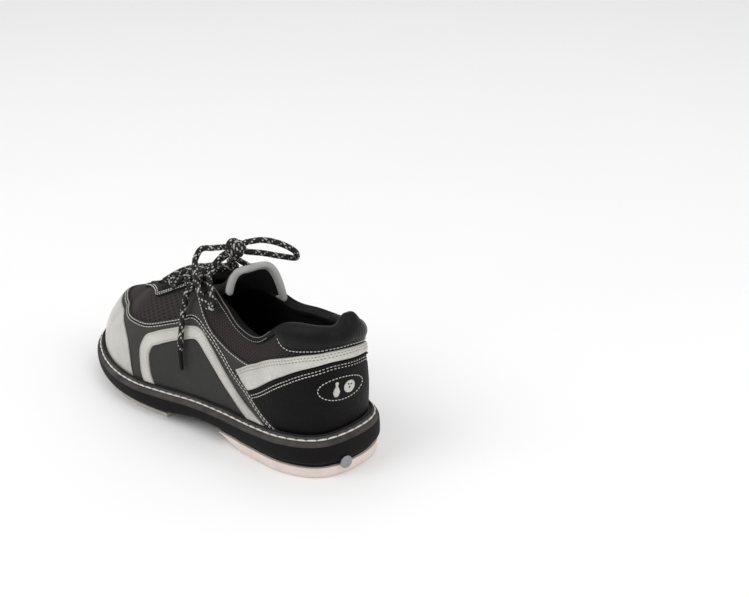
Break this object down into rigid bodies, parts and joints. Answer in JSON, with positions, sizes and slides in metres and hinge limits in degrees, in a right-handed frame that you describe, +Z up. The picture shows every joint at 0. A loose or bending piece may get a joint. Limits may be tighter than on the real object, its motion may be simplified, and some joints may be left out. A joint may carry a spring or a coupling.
{
  "type": "bowling shoe",
  "caption": "Low lace-up left bowling shoe with a thin slide sole under the ball and a heel pad, both held by hook and loop.",
  "frame": {"origin": "middle of the sole's outline, at the standing surface", "axes": "+X to the toe, +Y to the outer side of a left foot, +Z up"},
  "size_m": [0.2863, 0.11, 0.1365],
  "materials": {
    "nubuck": "matt brushed leather",
    "grain": "grained leather with a slight sheen",
    "panel": "matt leather",
    "pale": "smooth warm light grey leather",
    "binding": "woven tape",
    "mesh": "knitted spacer mesh",
    "lining": "brushed lining",
    "foam": "open cell foam",
    "board": "pressed fibre board",
    "filler": "cork filler",
    "steel": "spring steel",
    "rubber": "matt moulded rubber",
    "pad": "matt moulded rubber",
    "loop": "hook and loop",
    "microfibre": "brushed microfibre",
    "lace": "round braid with pale flecks",
    "aglet": "clear coated tip",
    "sticker": "printed film"
  },
  "bodies": {
    "shoe": {"aglet_lateral": "aglet", "aglet_medial": "aglet", "badge_patch": "grain", "bottom_filler": "filler", "collar_cover": "grain", "collar_foam": "foam", "eyestay_lateral": "nubuck", "eyestay_medial": "nubuck", "forefoot_loop_sheet": "loop", "heel_counter_cover": "grain", "heel_loop_sheet": "loop", "heel_stiffener": "board", "heel_stripe": "pale", "lace_knot": "lace", "lace_loop_front": "lace", "lace_loop_medial": "lace", "lace_tail_lateral": "lace", "lace_tail_medial": "lace", "lacing": "lace", "lasting_board": "board", "midsole": "rubber", "mudguard": "nubuck", "quarter_lining": "lining", "quarter_mesh_lateral": "mesh", "quarter_mesh_medial": "mesh", "saddle_lateral": "nubuck", "saddle_medial": "nubuck", "shank": "steel", "side_panel_lateral": "panel", "side_panel_medial": "panel", "side_stripe_lateral": "pale", "side_stripe_medial": "pale", "size_label": "sticker", "sock_liner": "foam", "toe_cap": "pale", "tongue_binding": "binding", "tongue_cover": "mesh", "tongue_foam": "foam", "tongue_lining": "lining", "topline_binding_lateral": "mesh", "topline_binding_medial": "mesh", "vamp_lining": "lining", "vamp_mesh": "mesh", "vamp_tip": "nubuck", "welt": "rubber"},
    "heel_pad_body": {"heel_pad": "pad", "heel_hook_backing": "loop"},
    "slide_sole_body": {"slide_sole": "microfibre", "slide_hook_backing": "loop"}
  },
  "joints": [
    {"name": "heel_pad_pull", "type": "slide", "parent": "shoe", "child": "heel_pad_body", "axis": [0, 0, -1], "range_m": [0, 0.03]},
    {"name": "slide_sole_pull", "type": "slide", "parent": "shoe", "child": "slide_sole_body", "axis": [0, 0, -1], "range_m": [0, 0.03]}
  ]
}
